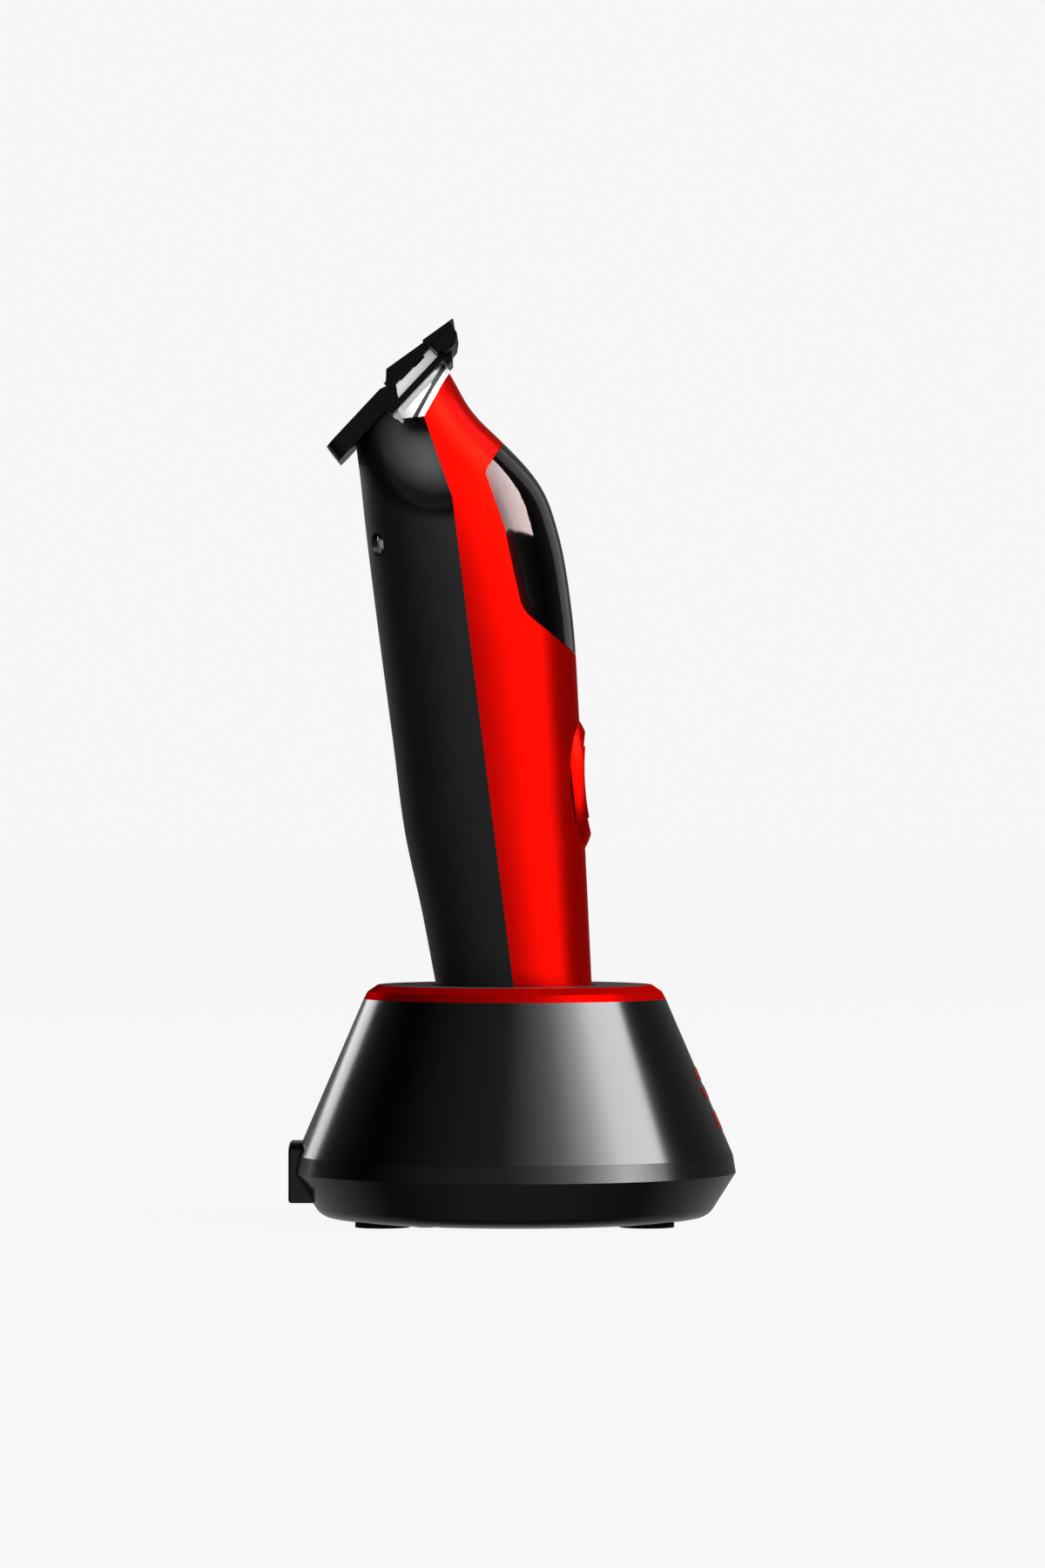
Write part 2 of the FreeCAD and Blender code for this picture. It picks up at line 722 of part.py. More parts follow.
def rivet_foot(side, height):
    return "dims.rivet_x", "%d * dims.rivet_y" % side, height


def blade_pieces():
    blade = HANDSET * BLADE
    carrier = pad_body("carrier_body", [
        ("-17.29", "0"), ("-1.3", "0"), ("-0.1", "-0.44"), ("-0.1", "-dims.contact_depth - 0.02"),
        ("1.4", "-dims.contact_depth - 0.02"), ("0", "-4.1"), ("-1.15", "-4.1"), ("-1.15", "-5.45"),
        ("-3.2", "-5.45"), ("-3.2", "-dims.carrier_thick"), ("-17.91", "-dims.carrier_thick")],
        "dims.carrier_wide")
    corners = [index + 1 for index, edge in enumerate(carrier.Shape.Edges)
               if edge.BoundBox.XMax < -17 and edge.BoundBox.YLength < 1e-3]
    carrier_pad = carrier.Tip
    rounded = carrier.newObject("PartDesign::Fillet", "carrier_corners")
    rounded.Base = (carrier_pad, ["Edge%d" % index for index in corners])
    bind(rounded, Radius="dims.carrier_corner")
    doc.recompute()
    screw_holes = []
    for side in (-1, 1):
        screw_holes.append(cylinder("carrier_hole", "2.6", blade_screw_foot(side, "-5"), "6"))
        screw_holes.append(cylinder("carrier_seat", "5.2", blade_screw_foot(side, "-1.5"), "3"))
        screw_holes.append(cylinder("carrier_rivet_hole", "1", rivet_foot(side, "-2.2"), "1"))
    part("blade_carrier", cut_all("blade_carrier", carrier, screw_holes), blade)
    group("blade_screws", [screw("blade_screw", (-size("dims.blade_screw_back"),
                                                 side * size("dims.blade_screw_y"), -1.5),
                                 (0, 0, -1), ROW, 4.8, 1.4, 1.6, 4.6) for side in (-1, 1)], blade)
    group("blade_rivets", [cylinder("blade_rivet", "1", rivet_foot(side, "-2.2"), "2.6")
                           for side in (-1, 1)], blade)

    comb = pad_body("comb_body", [
        ("0", "-dims.contact_depth"), ("0", "-0.44"), ("2.61", "1.8"), ("dims.comb_tip", "-1.48"),
        ("dims.comb_tip", "-dims.contact_depth")], "dims.comb_wide")
    pocket_row(comb, "comb_gap_cut", [
        ("dims.comb_root", "-(dims.comb_gaps - 1) * dims.comb_tooth_pitch / 2 - dims.comb_gap * 0.36"),
        ("dims.comb_tip + 1", "-(dims.comb_gaps - 1) * dims.comb_tooth_pitch / 2 - dims.comb_gap * 0.64"),
        ("dims.comb_tip + 1", "-(dims.comb_gaps - 1) * dims.comb_tooth_pitch / 2 + dims.comb_gap * 0.64"),
        ("dims.comb_root", "-(dims.comb_gaps - 1) * dims.comb_tooth_pitch / 2 + dims.comb_gap * 0.36")],
        "dims.comb_gaps", "dims.comb_tooth_pitch")
    sides = [box("comb_side", ("-5", low, "-10"), ("dims.wing_start", high, "10"))
             for low, high in (("-30", "-dims.comb_stem / 2"), ("dims.comb_stem / 2", "30"))]
    rivet_holes = [cylinder("comb_rivet_hole", "1", rivet_foot(side, "-4"), "6")
                   for side in (-1, 1)]
    part("fixed_blade", cut_all("fixed_blade", comb, sides + rivet_holes), blade)

    top = "-dims.contact_depth - dims.slide_play"
    cutter = pad_body("cutter_body", [
        ("11.9", top), ("dims.cutter_tip", top), ("17.7", "-4.05"), ("16.04", "-5.18"),
        ("14.9", "-5.3"), ("13.0", "-5.3"), ("13.0", "-3.95"), ("11.9", "-3.95")], "dims.cutter_wide")
    half_row = "-(dims.cutter_gaps - 1) * dims.cutter_tooth_pitch / 2"
    pocket_row(cutter, "cutter_gap_cut", [
        ("dims.cutter_root", half_row + " - dims.cutter_gap * 0.38"),
        ("dims.cutter_tip + 1", half_row + " - dims.cutter_gap * 0.62"),
        ("dims.cutter_tip + 1", half_row + " + dims.cutter_gap * 0.62"),
        ("dims.cutter_root", half_row + " + dims.cutter_gap * 0.38")],
        "dims.cutter_gaps", "dims.cutter_tooth_pitch")
    stem = box("cutter_stem", ("2.6", "-dims.cutter_stem / 2", top + " - dims.cutter_plate"),
               ("12.5", "dims.cutter_stem / 2", top))
    part("moving_blade", fuse("moving_blade", [cutter, stem]), blade)
    follower(blade)

    plate_bottom = "-dims.plate_top - dims.plate_thick"
    plate = pad_body("spring_body", [
        ("-1.05", "-dims.plate_top"), ("12.8", "-dims.plate_top"), ("12.8", "-5.45"), ("14.6", "-5.45"),
        ("13.0", "-6.95"), ("12.1", "-6.95"), ("12.1", plate_bottom), ("-1.05", plate_bottom)],
        "dims.plate_wide")
    window = box("plate_window", ("0.4", "-dims.passage_half", "-10"), ("10.8", "dims.passage_half", "0"))
    part("tension_plate", cut("tension_plate", plate, window), blade)


def follower(blade):
    """Stepped block under the cutter, with a fork that hangs down round the drive pin."""
    block = pad_body("follower_body", [
        ("0.15", "-4.05"), ("1.6", "-1.85"), ("3.0", "-1.85"), ("3.0", "-2.05"), ("6.9", "-2.05"),
        ("6.9", "-2.25"), ("9.9", "-2.25"), ("9.9", "-1.85"), ("11.75", "-1.85"), ("11.7", "-4.05")],
        "dims.follower_wide")
    doc.recompute()
    stem_room = box("stem_room", ("-1", "-dims.cutter_stem / 2", "-dims.contact_depth - dims.cutter_plate"
                                  " - dims.slide_play"), ("20", "dims.cutter_stem / 2", "5"))
    to_blade = BLADE.inverse()
    half_slot = "(dims.pin_dia / 2 + 2 * dims.crank + 0.1)"
    slot = box("fork_slot", ("dims.motor_x - 3.1", "-" + half_slot, "130"),
               ("dims.motor_x + 3.1", half_slot, "160"), to_blade)
    arms = [box("fork_arm", ("dims.motor_x - 2.9", low, "dims.fork_low"),
                ("dims.motor_x + 2.9", high, "155"), to_blade)
            for low, high in ((half_slot, "dims.fork_outer"), ("-dims.fork_outer", "-" + half_slot))]
    under = box("fork_limit", ("-40", "-40", "-40"), ("40", "40", "-3.2"))
    fork = common("fork", fuse("fork_arms", arms), under)
    block_cut = cut_all("follower_block", block, [stem_room, slot])
    part("drive_block", fuse("drive_block", [block_cut, fork]), blade)


# ---------------------------------------------------------------- motor

def motor_pieces():
    axis = ("dims.motor_x", "0")

    def rod(name, diameter, low, high):
        return cylinder(name, diameter, axis + (low,), "(%s) - (%s)" % (high, low))

    can = fuse("can_form", [rod("can_outer", "dims.motor_dia", "dims.motor_low", "dims.motor_high"),
                            rod("can_nose", "dims.nose_dia", "dims.motor_high - 0.5",
                                "dims.motor_high + dims.nose_high")])
    can_hollow = rod("can_hollow", "dims.motor_dia - 2 * dims.motor_wall", "dims.motor_low - 1",
                     "dims.motor_high - dims.motor_wall")
    nose_bore = rod("nose_bore", "dims.bush_dia", "dims.motor_low", "dims.motor_high + 5")
    part("motor_can", cut_all("motor_can", can, [can_hollow, nose_bore]), HANDSET)

    end_low = "dims.motor_low - dims.endcap_thick"
    cap = rod("endcap_disc", "dims.motor_dia", end_low, "dims.motor_low")
    cap_bore = rod("endcap_bore", "dims.bush_dia", end_low + " - 1", "dims.motor_low + 1")
    part("motor_endcap", cut("motor_endcap", cap, cap_bore), HANDSET)

    bushes = []
    for word, low in (("upper", "dims.motor_high + dims.nose_high - dims.bush_long"), ("lower", end_low)):
        tube = rod("bush_%s_tube" % word, "dims.bush_dia", low, low + " + dims.bush_long")
        bore = rod("bush_%s_bore" % word, "dims.shaft_dia + 2 * dims.shaft_play", low + " - 1",
                   low + " + dims.bush_long + 1")
        bushes.append(cut("bush_" + word, tube, bore))
    group("motor_bushes", bushes, HANDSET)

    part("motor_shaft", rod("motor_shaft", "dims.shaft_dia", end_low + " + 0.4", "dims.shaft_top"), HANDSET)
    core = rod("core_disc", "dims.core_dia", "dims.motor_low + dims.core_end_gap",
               "dims.motor_high - dims.core_end_gap")
    slots = []
    for index in range(3):
        slot = box("core_slot", ("5", "-0.8", "dims.motor_low"), ("12", "0.8", "dims.motor_high"))
        turn = Rotation(Vector(0, 0, 1), 120 * index)
        slot.Placement = Placement(Vector(size("dims.motor_x"), 0, 0), turn) * slot.Placement
        slots.append(slot)
    core_bore = rod("core_bore", "dims.shaft_dia", "dims.motor_low", "dims.motor_high")
    part("motor_core", cut_all("motor_core", core, slots + [core_bore]), HANDSET)

    cam = rod("cam_disc", "dims.cam_dia", "dims.cam_low", "dims.cam_high")
    pin = cylinder("drive_pin", "dims.pin_dia", ("dims.motor_x + dims.crank", "0", "dims.cam_high - 1"),
                   "dims.pin_top - dims.cam_high + 1")
    cam_bore = rod("cam_bore", "dims.shaft_dia", "dims.cam_low - 1", "dims.shaft_top")
    part("eccentric_cam", cut("eccentric_cam", fuse("cam_with_pin", [cam, pin]), cam_bore), HANDSET)

    ring = rod("cradle_disc", "dims.cradle_dia", "dims.cradle_low", "dims.cradle_high")
    screw_bites = [cylinder("cradle_bite", "1.6", ("-30", str(side * size("dims.shell_screw_y")),
                                                    "dims.shell_screw_z"), "17", ROW, Vector(1, 0, 0))
                   for side in (-1, 1)]
    part("motor_cradle", cut_all("motor_cradle", ring, [rod(
        "cradle_bore", "dims.motor_dia + 0.1", "dims.cradle_low - 1", "dims.cradle_high + 1")]
        + screw_bites), HANDSET)


# ---------------------------------------------------------------- battery, board and switch

def electric_pieces():
    axis = ("dims.cell_x", "0")

    def rod(name, diameter, low, high):
        return cylinder(name, diameter, axis + (low,), "(%s) - (%s)" % (high, low))

    cell_high = "dims.cell_low + dims.cell_long"
    part("battery_cell", fuse("battery_cell", [
        rod("cell_can", "dims.cell_dia", "dims.cell_low", cell_high + " - 0.8"),
        rod("cell_button", "dims.cell_dia * 0.32", cell_high + " - 1", cell_high)]), HANDSET)
    tab_half = "dims.tab_wide / 2"
    tabs = [box("tab_" + word, ("dims.cell_x - " + tab_half, "-" + tab_half, low),
                ("dims.cell_x + " + tab_half, tab_half, low + " + dims.tab_thick"))
            for word, low in (("lower", "dims.cell_low - dims.tab_thick"), ("upper", cell_high))]
    group("cell_tabs", tabs, HANDSET)
    holder = rod("holder_disc", "dims.holder_dia", "dims.holder_low", "dims.holder_high")
    holder_bore = rod("holder_bore", "dims.cell_dia + 0.1", "dims.cell_low - dims.tab_thick - 0.1",
                      "dims.holder_high + 1")
    part("battery_holder", cut("battery_holder", holder, holder_bore), HANDSET)

    board_front = "dims.board_x + dims.board_thick"
    half = "dims.board_wide / 2"
    board = box("board_blank", ("dims.board_x", "-" + half, "dims.board_low"),
                (board_front, half, "dims.board_high"))
    chips = [box("chip", ("dims.board_x - 1.2", str(y), str(z)),
                 ("dims.board_x + 0.2", str(y + 5), str(z + 5)))
             for y, z in ((-6.5, 82.0), (1.5, 82.0), (-2.5, 90.0))]
    front_chips = [box("front_chip", (board_front + " - 0.2", str(y), str(z)),
                       (board_front + " + 1.4", str(y + 4), str(z + 6)))
                   for y, z in ((-6, 76.0), (2, 76.0))]

    def screw_holes(name, start):
        return [cylinder(name, "dims.board_screw_hole",
                         (start, "%d * dims.board_screw_y" % side, "dims.board_screw_z"), "6", ROW,
                         Vector(1, 0, 0)) for side in (-1, 1)]

    bites = screw_holes("board_bite", "dims.board_x - 1")
    part("control_board", cut_all("control_board", fuse("board_set", [board] + chips + front_chips), bites),
         HANDSET)
    plate = box("bracket_plate", (board_front, "-7.2", "dims.board_high - 6"),
                (board_front + " + 0.6", "7.2", "dims.board_high + 1"))
    lip = box("bracket_lip", (board_front, "-7.2", "dims.board_high + 0.4"),
              (board_front + " + 4", "7.2", "dims.board_high + 1"))
    part("board_bracket", cut_all("board_bracket", fuse("bracket_blank", [plate, lip]),
                                  screw_holes("bracket_hole", board_front + " - 1")), HANDSET)
    group("board_screws", [screw("board_screw", (size(board_front + " + 0.6"),
                                                 side * size("dims.board_screw_y"),
                                                 size("dims.board_screw_z")), (-1, 0, 0), ROW,
                                 3.2, 1.2, size("dims.board_screw_hole"), 2.6)
                           for side in (-1, 1)], HANDSET)

    half_switch = "dims.switch_size / 2"
    case = box("switch_case", (board_front, "-" + half_switch, "dims.boss_z - " + half_switch),
               (board_front + " + dims.switch_tall", half_switch, "dims.boss_z + " + half_switch))
    well = cylinder("switch_well", "dims.plunger_dia + 2 * dims.plunger_gap",
                    (board_front + " + 0.3", "0", "dims.boss_z"), "10", ROW, Vector(1, 0, 0))
    part("power_switch", cut("power_switch", case, well), HANDSET)
    part("switch_plunger", cylinder("switch_plunger", "dims.plunger_dia",
                                    ("dims.plunger_tip - dims.plunger_long", "0", "dims.boss_z"),
                                    "dims.plunger_long", ROW, Vector(1, 0, 0)), HANDSET)

    seat = (size("dims.shell_screw_seat"), size("dims.shell_screw_y"), size("dims.shell_screw_z"))
    group("shell_screws", [screw("shell_screw", (seat[0], side * seat[1], seat[2]), (1, 0, 0), ROW,
                                 3.8, 1.1, 1.6, 2.3) for side in (-1, 1)], HANDSET)


# ---------------------------------------------------------------- dock

def indicator_bars(name):
    """Three plain bars on the dock's front."""
    return fuse(name, [box("bar", ("20", "-dims.indicator_wide / 2", str(low)),
                           ("60", "dims.indicator_wide / 2", str(high)))
                       for low, high in ((19.1, 23.0), (25.7, 28.2), (29.5, 32.0))])


def dock_shells():
    base = turned_body("base_turned_body", [
        ("0", "dims.foot_show"), ("dims.base_flat", "dims.foot_show"),
        ("dims.base_corner", "dims.base_corner_z"), ("dims.lip_radius", "dims.lip_z"),
        ("dims.cone_foot", "dims.cone_foot_z"), ("dims.cone_foot - dims.dock_wall", "dims.cone_foot_z"),
        ("dims.lip_radius - dims.dock_wall", "dims.lip_z + 0.5"),
        ("dims.base_corner - 1.0", "dims.foot_show + 2.6"), ("0", "dims.foot_show + 2.6")])
    inlet_room = box("inlet_room", ("-60", "-(dims.inlet_wide / 2 + 0.1)", "dims.inlet_low - 0.1"),
                     ("-dims.inlet_root", "dims.inlet_wide / 2 + 0.1", "dims.inlet_high + 0.1"))
    feet = []
    pockets = []
    for x in (-1, 1):
        for y in (-1, 1):
            foot = ("%d * dims.foot_x" % x, "%d * dims.foot_y" % y, "0")
            feet.append(cylinder("foot", "dims.foot_dia", foot, "dims.foot_tall"))
            pockets.append(cylinder("foot_pocket", "dims.foot_dia", foot, "dims.foot_tall"))
    screw_tools = []
    posts = []
    bites = []
    screws = []
    circle = size("dims.post_circle")
    for index in range(3):
        turn = math.radians(120 * index)
        x = circle * math.cos(turn)
        y = circle * math.sin(turn)
        screw_tools.append(cylinder("base_hole", "3.2", (str(x), str(y), "0"), "8"))
        screw_tools.append(cylinder("base_seat", "6", (str(x), str(y), "0"), "2.4"))
        posts.append(cylinder("post", "dims.post_dia", (str(x), str(y), "dims.foot_show + 2.65"), "30"))
        bites.append(cylinder("post_bite", "2.5", (str(x), str(y), "0"), "13"))
        screws.append(screw("dock_screw", (x, y, 2.4), (0, 0, 1), ROW, 5.4, 1.5, 2.5, 9.0))
    smooth = rounded("base_rounded", base, "dims.base_round", lambda edge: (
        abs(edge.BoundBox.ZMax - size("dims.base_corner_z")) < 0.01
        and abs(edge.BoundBox.ZLength) < 0.01))
    part("dock_base", cut_all("dock_base", smooth, [inlet_room] + pockets + screw_tools))
    group("dock_feet", feet)
    group("dock_screws", screws)

    cone_solid = cone("cone_solid", "dims.cone_foot", "dims.cone_top", "dims.cone_foot_z + 0.05",
                      "dims.cone_top_z")
    low_fill = cylinder("low_fill", "2 * dims.cone_foot - 8", ("0", "0", "2"), "12.5")
    posts_in = common("posts_in", fuse("posts", posts), fuse("post_reach", [cone_solid, low_fill]))
    inner_slope = "(dims.cone_foot - dims.cone_top) / (dims.cone_top_z - dims.cone_foot_z)"
    body = turned_body("cone_turned_body", [
        ("dims.cone_foot", "dims.cone_foot_z + 0.05"), ("dims.cone_top", "dims.cone_top_z"),
        ("dims.shoulder", "dims.cone_top_z"), ("dims.shoulder", "dims.cone_top_z - dims.shoulder_thick"),
        ("dims.cone_top - dims.dock_wall + dims.shoulder_thick * " + inner_slope,
         "dims.cone_top_z - dims.shoulder_thick"),
        ("dims.cone_foot - dims.dock_wall", "dims.cone_foot_z + 0.05")])
    proud = "dims.indicator_proud"
    outer_band = cone("band_outer", "dims.cone_foot + " + proud, "dims.cone_top + " + proud,
                      "dims.cone_foot_z", "dims.cone_top_z")
    inner_band = cone("band_inner", "dims.cone_foot - 1.2", "dims.cone_top - 1.2",
                      "dims.cone_foot_z", "dims.cone_top_z")
    band = cut("band", outer_band, inner_band)
    part("charge_indicator", common("charge_indicator", band, indicator_bars("bars")))
    pocket = common("bar_pocket", cut("pocket_band", cone(
        "pocket_outer", "dims.cone_foot + 1", "dims.cone_top + 1", "dims.cone_foot_z", "dims.cone_top_z"),
        cone("pocket_inner", "dims.cone_foot - 1.2", "dims.cone_top - 1.2", "dims.cone_foot_z",
             "dims.cone_top_z")), indicator_bars("pocket_bars"))
    part("dock_body", cut_all("dock_body", fuse("cone_with_posts", [body, posts_in]),
                              [inlet_room, pocket] + bites))

    part("dock_ring", turned_body("dock_ring", [
        ("dims.cone_top", "dims.cone_top_z"), ("dims.ring_mid", "dims.ring_mid_z"),
        ("dims.ring_top", "dims.ring_top_z"), ("dims.ring_inner", "dims.ring_top_z"),
        ("dims.ring_inner", "dims.cone_top_z")]))
    disc = cylinder("plate_disc", "2 * dims.ring_inner", ("0", "0", "dims.cone_top_z"),
                    "dims.plate_high - dims.cone_top_z")
    mouth = envelope("mouth_loft", "-dims.mouth_gap", CUP_RINGS)
    mouth.Placement = HANDSET
    part("dock_top_plate", cut("dock_top_plate", disc, mouth))


def cradle_pieces():
    outer = envelope("cup_outer", "-dims.socket_gap - dims.cup_wall", CUP_RINGS)
    inner = envelope("cup_inner", "-dims.socket_gap", CUP_RINGS)
    floor_low = "-dims.cup_floor - dims.cup_wall"
    slab = common("cup_base", box("cup_slab", ("-60", "-60", floor_low), ("60", "60", "0")),
                  stretched_foot("cup_foot", "-dims.socket_gap - dims.cup_wall"))
    hollow_low = common("cup_low_room", box("cup_low_slab", ("-60", "-60", "-dims.cup_floor"),
                                            ("60", "60", "0.1")),
                        stretched_foot("cup_low_foot", "-dims.socket_gap"))
    blank = fuse("cup_blank", [outer, slab])
    holes = [cylinder("cup_pin_hole", "dims.contact_dia + 0.4",
                      ("0", "%d * dims.pin_side" % side, "-5"), "6") for side in (-1, 1)]
    cup = cut_all("cup_open", blank, [inner, hollow_low] + holes)
    cup.Placement = HANDSET
    under_plate = box("under_plate", ("-100", "-100", "0"), ("100", "100", "dims.cone_top_z - 0.05"))
    part("cradle_cup", common("cradle_cup", cup, under_plate))

    block = box("contact_blank", ("-5", "-10", floor_low + " - 6"), ("5", "10", floor_low))
    wells = []
    for side, word in ((-1, "right"), (1, "left")):
        foot = ("0", "%d * dims.pin_side" % side)
        wells.append(cylinder("pin_well", "3.3", foot + (floor_low + " - 5.2",), "5.2"))
        plunger = fuse("contact_pin_" + word, [
            cylinder("pin_rod_" + word, "dims.contact_dia", foot + (floor_low + " - 3",), "4.6"),
            cylinder("pin_collar_" + word, "3.1", foot + (floor_low + " - 3",), "1.2")])
        part("contact_pin_" + word, pin_with_tip(word, plunger, foot), HANDSET)
    part("contact_block", cut_all("contact_block", block, wells), HANDSET)


def pin_with_tip(word, plunger, foot):
    """Rounds the tip that touches the handset's pad, which it meets 0.03 mm short."""
    tip = doc.addObject("Part::Sphere", "pin_tip_" + word)
    bind(tip, Radius="dims.contact_dia / 2")
    tip.Placement.Base = Vector(size(foot[0]), size(foot[1]), size("-dims.contact_dia / 2 - 0.03"))
    reach = cylinder("pin_reach_" + word, "6", foot + ("-12",), "12 - dims.contact_dia / 2 - 0.03")
    return fuse("pin_whole_" + word, [common("pin_shank_" + word, plunger, reach), tip])


def stretched_foot(name, inset):
    """The bottom cross-section carried straight down, under the loft's first section."""
    item = doc.addObject("Part::Extrusion", name)
    item.Base = section(name + "_section", 0, inset)
    item.DirMode = "Custom"
    item.Dir = Vector(0, 0, -1)
    item.Solid = True
    return bind(item, LengthFwd="4")


def dock_electrics():
    half = "dims.inlet_wide / 2"
    block = box("inlet_blank", ("-dims.inlet_face", "-" + half, "dims.inlet_low"),
                ("-dims.inlet_root", half, "dims.inlet_high"))
    doc.recompute()
    face = size("-dims.inlet_face")
    top = size("dims.inlet_high")
    rounded = doc.addObject("Part::Fillet", "inlet_rounded")
    rounded.Base = block
    radii = []
    for index, edge in enumerate(block.Shape.Edges):
        limits = edge.BoundBox
        along_x_on_top = limits.XLength > 1 and limits.ZMin > top - 0.01
        on_face = limits.XMax < face + 0.01
        if along_x_on_top:
            radii.append((index + 1, 2.5, 2.5))
        elif on_face:
            radii.append((index + 1, 0.7, 0.7))
    rounded.Edges = radii
    jack_low = "dims.inlet_axis_z - 4"
    bore = cylinder("inlet_bore", "dims.inlet_bore", ("-dims.inlet_face - 1", "0", "dims.inlet_axis_z"),
                    "20", ROW, Vector(1, 0, 0))
    part("inlet_housing", cut("inlet_housing", rounded, bore))
    socket = fuse("jack_solid", [
        box("jack_case", ("-dims.inlet_root + 0.05", "-4.5", jack_low),
            ("-26", "4.5", "dims.inlet_axis_z + 4.5")),
        cylinder("jack_pin", "2", ("-dims.inlet_face + 1.2", "0", "dims.inlet_axis_z"), "12", ROW,
                 Vector(1, 0, 0))])
    part("inlet_jack", socket)
    board = box("dock_board", ("-37", "-13", jack_low + " - 1.6"), ("-12", "13", jack_low))
    part("dock_board", board)
    disc = cylinder("ballast_disc", "62", ("0", "0", "dims.foot_show + 2.65"), "5")
    keep = box("ballast_keep", ("-9", "-60", "0"), ("60", "60", "20"))
    part("ballast_plate", common("ballast_plate", disc, keep))


# ---------------------------------------------------------------- build, test and write

def check():
    for item in doc.Objects:
        if "Invalid" in item.State or "Error" in item.State:
            raise RuntimeError("%s failed: %s" % (item.Name, item.State))
    for node, item in parts.items():
        shape = item.Shape
        if shape.isNull() or not shape.isValid() or not shape.Solids:
            raise RuntimeError("%s has no valid solid" % node)


def write():
    os.makedirs("parts", exist_ok=True)
    for node, item in parts.items():
        item.Shape.exportStep("parts/%s.step" % node)
        limits = item.Shape.BoundBox
        print("%-18s solids %2d  volume %9.1f  x %7.2f %7.2f  y %7.2f %7.2f  z %7.2f %7.2f" % (
            node, len(item.Shape.Solids), item.Shape.Volume, limits.XMin, limits.XMax,
            limits.YMin, limits.YMax, limits.ZMin, limits.ZMax))


handset_shells()
blade_pieces()
motor_pieces()
electric_pieces()
dock_shells()
cradle_pieces()
dock_electrics()
doc.recompute()
check()
write()
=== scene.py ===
"""Looks of the cordless hair clipper in its charging dock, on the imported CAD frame."""
import json
import math
import bpy
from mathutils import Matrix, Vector

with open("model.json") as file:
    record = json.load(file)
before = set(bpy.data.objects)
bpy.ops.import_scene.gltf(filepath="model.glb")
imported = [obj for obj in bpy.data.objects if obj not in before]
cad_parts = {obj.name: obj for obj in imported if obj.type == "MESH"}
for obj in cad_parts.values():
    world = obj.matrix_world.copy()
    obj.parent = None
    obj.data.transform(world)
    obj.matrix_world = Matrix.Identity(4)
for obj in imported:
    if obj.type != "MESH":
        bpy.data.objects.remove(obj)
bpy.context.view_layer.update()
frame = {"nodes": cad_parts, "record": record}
NODES = frame["nodes"]


# ---------------------------------------------------------------- materials

MM = 0.001
MIX_FACTOR, MIX_FIRST, MIX_SECOND, MIX_RESULT = 0, 6, 7, 2      # a colour mix node's sockets


def number(tree, operation, *values):
    """A node that works out one number from values, or from sockets to link from."""
    item = tree.nodes.new("ShaderNodeMath")
    item.operation = operation
    for socket, value in zip(item.inputs, values):
        if isinstance(value, bpy.types.NodeSocket):
            tree.links.new(value, socket)
        else:
            socket.default_value = value
    return item.outputs["Value"]


def set_stops(ramp, levels):
    """Gives a colour ramp its grey stops, each a place and a level from 0 to 1."""
    stops = ramp.color_ramp.elements
    while len(stops) < len(levels):
        stops.new(0.5)
    for stop, (place, level) in zip(stops, levels):
        stop.position = place
        stop.color = (level, level, level, 1)


